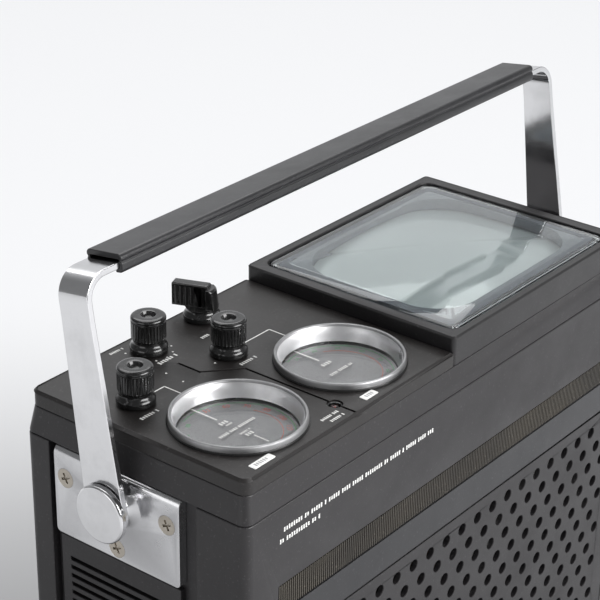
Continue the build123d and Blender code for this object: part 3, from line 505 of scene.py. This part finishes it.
def seam_test(*heights):
    """True for level edges on the outside of the cabinet at one of these heights, in mm."""

    def test(at, along):
        outside = abs(at.x) > SEAM_OUTSIDE[0] or abs(at.y) > SEAM_OUTSIDE[1]
        return outside and abs(along.z) < 0.1 and min(abs(at.z - h) for h in heights) < EDGE
    return test


def panel_rim(at, along):
    """True for edges on the top rim of the control panel, but not beside the screen frame."""
    return at.z > PANEL_Z / MM - EDGE and (abs(at.y) > PANEL_RIM[0] or at.x < PANEL_RIM[1])


SEAM_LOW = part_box("front_cabinet")[0].z / MM
SEAM_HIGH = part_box("control_panel")[0].z / MM
HINGE_CLEAR = 3.0               # edges this near the door's hinge stay sharp, in mm
HINGE = joint("battery_door_hinge") / MM
# nodes with a wider rounding on some edges: test of an edge's middle and direction, width in mm
WIDE = {
    "battery_door": (lambda at, along: (at - HINGE).yz.length > HINGE_CLEAR, 0.35),
    "front_cabinet": (seam_test(SEAM_LOW, SEAM_HIGH), 0.75),
    "rear_cabinet": (seam_test(SEAM_LOW), 0.75),
    "control_panel": (panel_rim, 1.1),
    "screen_frame": (top_test("screen_frame"), 0.7),
}
for node, (look, width, segments) in ROUNDED.items():
    wide = WIDE.get(node)
    if wide:
        wide = (wide[0], wide[1] * MM)
    refined(node, M[look], width * MM, segments, wide)


def place_piece(name, bm, mat, body, slot, at, replaced=(), angle=35.0):
    """Piece built round its own origin, moved to its place."""
    bmesh.ops.translate(bm, vec=at, verts=bm.verts)
    return add(name, finish_mesh(bm, name, angle), mat, body, slot, replaced)


def door_pins():
    """Hinge pins with rounded ends, a hair slimmer than their bores."""
    inner, outer = 76.0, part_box("door_pins")[1].x / MM
    half, radius, ease = (outer - inner) / 2, 1.14, 0.35
    profile = [(0, -half), (0.8, -half), (radius, ease - half), (radius, half - ease), (0.8, half),
               (0, half)]
    for side, name in ((-1, "left"), (1, "right")):
        bm = lathed(profile, 32)
        bmesh.ops.transform(bm, matrix=Matrix.Rotation(radians(90), 4, "Y"), verts=bm.verts)
        at = HINGE + Vector((side * (inner + outer) / 2, 0, 0))
        place_piece(f"{name}_door_pin", bm, M["steel"], CABINET, SLOT["door_pins"], at * MM, ["door_pins"])


door_pins()


# ---------------------------------------------------------------- dials


def dial_surround(name, at, replaced):
    """Bright rim, dark skirt under it and a satin cone down to the window."""
    r, h = DIAL_R, RIM_H
    rim = [(r - 1.0, 0.9), (r + 0.15, 0.9), (r + 0.08, h - 0.9), (r - 0.05, h - 0.45), (r - 0.3, h - 0.12),
           (r - 0.65, h), (r - 1.05, h - 0.1), (r - 1.35, h - 0.38), (r - 1.5, h - 0.8), (r - 1.6, h - 1.4)]
    skirt = [(r - 1.4, -3.4), (r - 1.2, 0.9), (r + 0.1, 0.9), (r + 0.45, 0.5), (r + 0.5, 0.03),
             (r - 0.9, 0.03), (r - 1.25, -3.4)]
    step = h - 1.4
    cone = [(r - 1.2, step + 0.4), (r - 1.6, step + 0.4), (r - 1.95, step - 0.2), (r - 2.4, step - 1.6),
            (r - 2.7, step - 3.0), (r - 3.0, -3.0), (r - 3.1, -3.4), (r - 1.42, -3.4)]
    at = Vector((at.x, at.y, PANEL_Z))
    for part, profile, look, node, hidden in (("rim", rim, "rim", "dial_rings", replaced),
                                              ("skirt", skirt, "skirt", "control_panel", ()),
                                              ("cone", cone, "cone", "dial_rings", ())):
        place_piece(f"{name}_dial_{part}", lathed(profile, 128, closed=True), M[look], CABINET, SLOT[node],
                    at, hidden)


def dial_print(name, at):
    """White pointers and plain rows of bars on the window."""
    at = Vector((at.x, at.y, WINDOW_Z))
    white = bmesh.new()
    stroke(white, (-0.4, 22.3), (-0.4, 9.8), 0.6, 0.0)
    if name == "radio":
        stroke(white, (0.0, -7.6), (-0.1, -14.6), 0.5, 0.0)
        words(white, (-2.4, 6.6), (2.2, 6.6), 0.0, 2.0)
        words(white, (-1.4, 4.4), (1.8, 4.4), 0.0, 0.9)
        words(white, (-9.6, 0.5), (10.2, 0.5), 0.0, 1.4, (5, 4, 12))
        words(white, (-2.8, -3.4), (2.6, -3.4), 0.0, 1.0)
        words(white, (-1.9, -5.6), (1.6, -5.6), 0.0, 1.8)
    else:
        words(white, (-2.9, 6.2), (2.7, 6.2), 0.0, 1.9)
        words(white, (-6.9, -1.0), (6.4, -1.0), 0.0, 1.5, (4, 5))
    place_piece(f"{name}_pointer", white, M["white"], CABINET, "label", at)


def scale_print(name, at, body):
    """Arcs, ticks and figures on the turning disc."""
    at = Vector((at.x, at.y, DISC_Z))
    green = bmesh.new()
    arc_into(green, 20.9, 0.35, -150, 110, 0.0)
    for k in range(53):
        a = radians(-150 + 5 * k)
        reach = 22.2 if k % 2 == 0 else 21.7
        stroke(green, (20.9 * cos(a), 20.9 * sin(a)), (reach * cos(a), reach * sin(a)), 0.22, 0.0)
    red = bmesh.new()
    if name == "radio":
        arc_into(red, 16.4, 0.3, -150, 20, 0.0)
        for k, text in enumerate(("53", "60", "70", "80", "100", "120", "140", "160")):
            a = radians(78 - 24 * k)
            number_into(red, text, 3.1, (18.9 * cos(a), 18.9 * sin(a), INK / 2), a - pi / 2)
        for k, text in enumerate(("88", "92", "96", "100", "104", "108")):
            a = radians(118 + 24 * k)
            number_into(green, text, 2.6, (18.6 * cos(a), 18.6 * sin(a), INK / 2), a - pi / 2)
    else:
        for k, text in enumerate(("14", "20", "30", "40", "50", "60", "70", "80")):
            a = radians(100 - 30 * k)
            number_into(green, text, 2.6, (18.8 * cos(a), 18.8 * sin(a), INK / 2), a - pi / 2)
        arc_into(red, 16.6, 0.3, -100, 60, 0.0)
    place_piece(f"{name}_scale_green", green, M["green"], body, "label", at)
    place_piece(f"{name}_scale_red", red, M["red"], body, "label", at)


dial_surround("radio", DIALS["radio"], ["dial_rings"])
dial_surround("tv", DIALS["tv"], [])
for dial in DIALS:
    dial_print(dial, DIALS[dial])
    scale_print(dial, DIALS[dial], f"{dial}_scale_disc")


# ---------------------------------------------------------------- screen and lamp
def shield():
    """Clear cover: a domed skin with rounded edges and a short wall under it."""
    low, high = (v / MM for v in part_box("implosion_shield"))
    width, depth, crown = high.x - low.x, high.y - low.y, high.z - 0.02
    radius, skin, wall = 720.0, 2.2, 2.9

    def dome(x, y, lower):
        return crown - (x * x + y * y) / (2 * radius) - lower

    def scaled(inset, lower, scale=1.0):
        corner = (4.0 - min(inset, 2.5)) * scale
        loop = rounded_loop((width - 2 * inset) * scale, (depth - 2 * inset) * scale, corner)
        return [(x, y, dome(x, y, lower)) for x, y in loop]

    rings = 12
    loops = [scaled(wall + 0.8, skin, k / rings) for k in range(1, rings + 1)]
    loops.append(scaled(wall + 0.2, skin + 0.2))
    loops.append(scaled(wall, skin + 0.7))
    foot = low.z + 0.05
    loops.append([(x, y, foot) for x, y in rounded_loop(width - 2 * wall, depth - 2 * wall, 1.5)])
    loops.append([(x, y, foot) for x, y in rounded_loop(width - 0.6, depth - 0.6, 3.7)])
    loops.append([(x, y, foot + 0.4) for x, y in rounded_loop(width, depth, 4.0)])
    for inset, lower in ((0.0, 1.0), (0.1, 0.62), (0.33, 0.3), (0.65, 0.1), (1.0, 0.0)):
        loops.append(scaled(inset, lower))
    loops += [scaled(1.0, 0.0, 1 - k / rings) for k in range(1, rings)]
    bm = bmesh.new()
    stacked(bm, loops)
    at = Vector(((low.x + high.x) / 2, (low.y + high.y) / 2, 0)) * MM
    place_piece("implosion_shield_finished", bm, M["shield"], CABINET, SLOT["implosion_shield"], at,
                ["implosion_shield"], 50.0)


def tube_face():
    """Smooth glass face lying on the end of the picture tube, inside the mask's opening."""
    low, high = (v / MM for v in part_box("picture_tube"))
    radius = 300.0

    def dome(x, y, rise):
        return high.z - radius + (radius * radius - x * x - y * y) ** 0.5 + rise

    outer = rounded_loop(101.4, 77.4, 19.7, 10)
    rings, low_rise, high_rise = 14, 0.03, 0.2

    def ring(k, rise):
        loop = [(x * k / rings, y * k / rings) for x, y in outer]
        return [(x, y, dome(x, y, rise)) for x, y in loop]

    loops = [ring(k, low_rise) for k in range(1, rings + 1)]
    loops += [ring(k, high_rise) for k in range(rings, 0, -1)]
    bm = bmesh.new()
    stacked(bm, loops)
    at = Vector(((low.x + high.x) / 2, (low.y + high.y) / 2, 0)) * MM
    place_piece("picture_tube_face", bm, M["tube"], CABINET, SLOT["picture_tube"], at, (), 50.0)


def lamp():
    """Domed red lens in a dark round bezel."""
    low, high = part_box("tuning_lamp")
    at = Vector(((low.x + high.x) / 2, (low.y + high.y) / 2, PANEL_Z))
    lens = [(0, -5.9), (2.9, -5.9), (2.9, -2.3), (2.2, -2.2), (2.05, -1.6), (1.6, -1.05), (0.9, -0.75),
            (0, -0.65)]
    bezel = [(3.05, -2.2), (2.3, -2.2), (2.25, -1.5), (2.45, -0.9), (2.8, -0.75), (3.05, -1.0)]
    place_piece("tuning_lamp_lens", lathed(lens, 48), M["lamp"], CABINET, SLOT["tuning_lamp"], at,
                ["tuning_lamp"])
    place_piece("tuning_lamp_bezel", lathed(bezel, 48, closed=True), M["knob"], CABINET,
                SLOT["control_panel"], at)


shield()
tube_face()
lamp()


# ---------------------------------------------------------------- knobs
def round_knob(node, at):
    """Glossy knob with a ribbed barrel, rounded cap and thumb dimple, on its spindle."""
    bottom = (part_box(node)[0].z - PANEL_Z) / MM
    top = (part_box(node)[1].z - PANEL_Z) / MM
    spindle = [(0, bottom), (2.6, bottom), (3.0, bottom + 0.4), (3.0, 0.5)]
    collar = [(7.1, 0.5), (7.4, 0.65), (7.5, 1.1), (7.5, 2.3), (7.4, 2.8), (7.05, 3.3), (6.6, 3.7)]
    barrel = [(6.3, 4.2), (6.15, 4.9), (6.3, 5.6), (6.7, 6.1), (6.9, 6.4), (6.9, 6.6), (6.9, top - 2.7)]
    cap = [(6.9, top - 2.5), (6.55, top - 2.25), (6.5, top - 1.95), (6.8, top - 1.8), (6.98, top - 1.5),
           (6.95, top - 1.0), (6.75, top - 0.6), (6.35, top - 0.25), (5.8, top - 0.06), (5.2, top)]
    dimple = [(3.4, top), (3.0, top - 0.1), (2.75, top - 0.5), (2.4, top - 1.3), (1.4, top - 1.9),
              (0, top - 2.1)]
    profile = spindle + collar + barrel + cap + dimple
    ribbed_from, ribbed_to = 6.5, top - 2.6
    ribs, groove = 30, 0.32

    def wave(a, z):
        """Shallow grooves between the ribs, on the barrel only."""
        if z < ribbed_from or z > ribbed_to:
            return 0.0
        return -groove * max(0.0, cos(ribs * a)) ** 3

    place_piece(node + "_finished", lathed(profile, 240, wave), M["knob"], node, SLOT[node],
                Vector((at.x, at.y, PANEL_Z)), [node], 40.0)


for node, at in KNOBS.items():
    round_knob(node, at)


# ---------------------------------------------------------------- printing on the panel and the sides
def panel_print():
    """White guide lines, dots round the volume knob and rows of bars where words were."""
    bm = bmesh.new()
    for points in (((-114.0, 15.3), (-107.7, 15.3), (-107.7, 4.4)),
                   ((-62.4, 15.3), (-45.9, 15.3), (-45.9, 4.3))):
        for one, two in zip(points, points[1:]):
            stroke(bm, one, two, 0.5, 0.0)
    volume = KNOBS["volume_knob"] / MM
    for k in range(7):
        a = radians(146 + 31.3 * k)
        dot_into(bm, volume.x + 9.3 * cos(a), volume.y + 9.3 * sin(a), 0.42, 0.0)
    for x, y in ((-99.5, 21.8), (-100.3, 12.5), (-81.3, 13.1)):
        dot_into(bm, x, y, 0.4, 0.0)
    rows = (((-95.6, 29.0), (-85.3, 29.2), 1.9), ((-131.6, 5.0), (-122.4, 5.0), 1.7),
            ((-76.1, 4.6), (-66.1, 4.6), 1.7), ((-68.9, 30.8), (-64.6, 30.8), 1.6),
            ((-102.0, 48.7), (-94.8, 48.5), 1.3),
            ((-135.6, 26.0), (-130.4, 26.0), 1.4), ((-88.6, -48.7), (-80.9, -48.7), 1.4),
            ((-90.5, -45.8), (-80.9, -45.8), 1.4))
    for one, two, height in rows:
        words(bm, one, two, 0.0, height)
    place_piece("panel_printing", bm, M["white"], CABINET, "label", Vector((0, 0, PANEL_Z)))


def side_print():
    """Two rows of small bars on the speaker side, where words were; the ink is half sunk in the face."""
    bm = bmesh.new()
    words(bm, (-122.2, 3.0), (-28.5, 3.0), -INK / 2, 1.9, (8, 2, 5, 1, 5, 4, 5))
    words(bm, (-124.4, -1.3), (-101.0, -1.3), -INK / 2, 1.9, (2, 10))
    bmesh.ops.transform(bm, matrix=Matrix.Rotation(radians(90), 4, "X"), verts=bm.verts)
    place_piece("side_printing", bm, M["white"], CABINET, "label",
                Vector((0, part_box("rear_cabinet")[0].y, 195.6 * MM)))


panel_print()
side_print()


def label_plates():
    """Small white plates with rounded corners and rows of grey bars."""
    plates, ink = bmesh.new(), bmesh.new()
    corner, height = 0.5, 0.28
    for (x0, x1, y0, y1) in ((-132.3, -120.9, -49.3, -45.9), (-67.9, -60.1, -49.2, -45.8)):
        mid_x, mid_y = (x0 + x1) / 2, (y0 + y1) / 2
        outline = [(mid_x + x, mid_y + y) for x, y in rounded_loop(x1 - x0, y1 - y0, corner, 4)]
        stacked(plates, [[(x, y, z) for x, y in outline] for z in (0.0, height)])
        words(ink, (x0 + 1.9, mid_y), (x1 - 1.7, mid_y), height, 1.6)
    plate = place_piece("label_plates_finished", plates, M["label"], CABINET, SLOT["label_plates"],
                        Vector((0, 0, PANEL_Z)), ["label_plates"])
    soften(plate, 0.1 * MM)
    place_piece("label_figures", ink, M["grey_ink"], CABINET, "label", Vector((0, 0, PANEL_Z)))


label_plates()


# ---------------------------------------------------------------- base side
def rating_plate():
    """Blank foil rating plate with rows of bars, and four small rivets, on the base side."""
    width, height, corner = 62.0, 34.0, 2.0
    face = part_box("rear_cabinet")[1].y / MM
    thick = 0.3
    loop = rounded_loop(width, height, corner)
    inner = rounded_loop(width - 0.3, height - 0.3, corner)
    plate, ink, rivets = bmesh.new(), bmesh.new(), bmesh.new()
    stacked(plate, [[(x, y, 0.0) for x, y in loop], [(x, y, 0.2) for x, y in loop],
                    [(x, y, thick) for x, y in inner]])
    for k, (start, end, tall) in enumerate(((-26, 4, 2.4), (-26, 24, 1.4), (-26, 18, 1.4), (-26, 22, 1.4),
                                            (-26, -2, 1.4))):
        row = 10.5 - 5.2 * k
        words(ink, (start, row), (end, row), thick, tall, (5, 8, 3))
    for start, end in (((8, 13), (27, 13)), ((27, 13), (27, 6)), ((27, 6), (8, 6)), ((8, 6), (8, 13))):
        stroke(ink, start, end, 0.35, thick)
    for sx in (-1, 1):
        for sy in (-1, 1):
            dome = lathed([(0, 0.25), (0.9, 0.25), (0.85, 0.5), (0.55, 0.7), (0, 0.78)], 20)
            bmesh.ops.translate(dome, vec=Vector((sx * 28.6, sy * 14.6, 0)) * MM, verts=dome.verts)
            mesh = bpy.data.meshes.new("rivet")
            dome.to_mesh(mesh)
            rivets.from_mesh(mesh)
            bpy.data.meshes.remove(mesh)
            dome.free()
    turn = Matrix.Rotation(pi, 4, "Z") @ Matrix.Rotation(radians(90), 4, "X")
    at = Vector((52.0, face, 118.0)) * MM
    for name, bm, look, slot in (("rating_plate", plate, "foil", "label"),
                                 ("rating_plate_figures", ink, "skirt", "label"),
                                 ("rating_plate_rivets", rivets, "nickel", "screw_steel")):
        bmesh.ops.transform(bm, matrix=turn, verts=bm.verts)
        place_piece(name, bm, M[look], CABINET, slot, at)


rating_plate()


# ---------------------------------------------------------------- strips on the speaker side
def slat_strip():
    """Backing with fine upright ribs."""
    low, high = (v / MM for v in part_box("slat_strip"))
    bm = bmesh.new()
    depth = high.y - low.y
    box_into(bm, ((low.x + high.x) / 2, high.y - 0.25 * depth, (low.z + high.z) / 2),
             (high.x - low.x, 0.5 * depth, high.z - low.z))
    pitch, rib = 1.2, 0.66
    count = int((high.x - low.x - rib) / pitch)
    start = (low.x + high.x - count * pitch) / 2
    for k in range(count + 1):
        box_into(bm, (start + k * pitch, low.y + 0.35 * depth, (low.z + high.z) / 2),
                 (rib, 0.7 * depth, high.z - low.z - 0.4))
    piece = place_piece("slat_strip_finished", bm, M["slats"], CABINET, SLOT["slat_strip"], Vector(),
                        ["slat_strip"])
    soften(piece, 0.13 * MM, 2)


slat_strip()


# ---------------------------------------------------------------- stage, light and camera
def floor():
    """Pale seamless table top with painted light: it glows softly, with a painted soft shadow that makes it
    dimmer near the set.
    """
    bm = bmesh.new()
    bmesh.ops.create_grid(bm, x_segments=8, y_segments=8, size=6.0)
    mesh = finish_mesh(bm, "floor")
    # painted shadow: the floor's glow is turned down round this point near the set, standing in for the
    # set's soft shadow
    painted_shadow_centre = (-0.10, 0.10, 0.0)
    s = Shader("floor", (0.205, 0.205, 0.21), 0.6, Emission_Color=(0.975, 0.985, 1.0, 1.0))
    spread = s.node("ShaderNodeVectorMath", operation="DISTANCE")
    spread.inputs[1].default_value = painted_shadow_centre
    s.link(s.coords, spread.inputs[0])
    glow_with_painted_shadow = s.remap(spread.outputs["Value"], -0.05, 0.50, 0.04, 0.65)
    glow_with_painted_shadow.node.interpolation_type = "SMOOTHSTEP"
    s.link(glow_with_painted_shadow, s.bsdf.inputs["Emission Strength"])
    mesh.materials.append(s.mat)
    obj = bpy.data.objects.new("floor", mesh)
    bpy.context.scene.collection.objects.link(obj)


def area_light(name, place, target, size, power):
    data = bpy.data.lights.new(name, "AREA")
    data.shape = "RECTANGLE"
    data.size, data.size_y = size
    data.energy = power
    obj = bpy.data.objects.new(name, data)
    bpy.context.scene.collection.objects.link(obj)
    obj.location = place
    obj.rotation_euler = (Vector(target) - Vector(place)).to_track_quat("-Z", "Y").to_euler()


def world():
    """Dim room with a bright backdrop low on the far right."""
    scene = bpy.context.scene
    scene.world = bpy.data.worlds.new("studio")
    scene.world.use_nodes = True
    tree = scene.world.node_tree
    back = tree.nodes["Background"]
    back.inputs["Color"].default_value = (0.97, 0.98, 1.0, 1.0)
    coords = tree.nodes.new("ShaderNodeTexCoord")
    towards = tree.nodes.new("ShaderNodeVectorMath")
    towards.operation = "DOT_PRODUCT"
    towards.inputs[1].default_value = (0.74, 0.58, 0.34)
    fade = tree.nodes.new("ShaderNodeMapRange")
    fade.interpolation_type = "SMOOTHSTEP"
    for key, number in (("From Min", 0.35), ("From Max", 0.98), ("To Min", 0.22), ("To Max", 0.80)):
        fade.inputs[key].default_value = number
    tree.links.new(coords.outputs["Generated"], towards.inputs[0])
    tree.links.new(towards.outputs["Value"], fade.inputs["Value"])
    tree.links.new(fade.outputs["Result"], back.inputs["Strength"])
    scene.view_settings.view_transform = "Standard"


def camera():
    """Long lens looking down at the control end from the front left."""
    azimuth, elevation, roll = radians(-51.92), radians(25.89), radians(-0.893)
    back = Vector((sin(azimuth) * cos(elevation), -cos(azimuth) * cos(elevation), sin(elevation)))
    right = (-back).cross(Vector((0, 0, 1))).normalized()
    down = (-back).cross(right)
    image_right = cos(roll) * right + sin(roll) * down
    image_up = sin(roll) * right - cos(roll) * down
    data = bpy.data.cameras.new("camera")
    data.sensor_width = 36.0
    data.lens = 113.54
    obj = bpy.data.objects.new("camera", data)
    turn = Matrix((image_right, image_up, back)).transposed().to_4x4()
    obj.matrix_world = Matrix.Translation((-0.5665, -0.4080, 0.5648)) @ turn
    bpy.context.scene.collection.objects.link(obj)
    bpy.context.scene.camera = obj


floor()
world()
camera()
area_light("key", (0.3, -1.8, 1.0), (0, 0, 0.15), (1.6, 1.2), 58)
area_light("left", (-1.7, 0.1, 0.55), (0, 0, 0.15), (1.1, 0.9), 5)
area_light("top", (0.4, 0.6, 1.8), (0, 0, 0.2), (1.8, 1.8), 24)
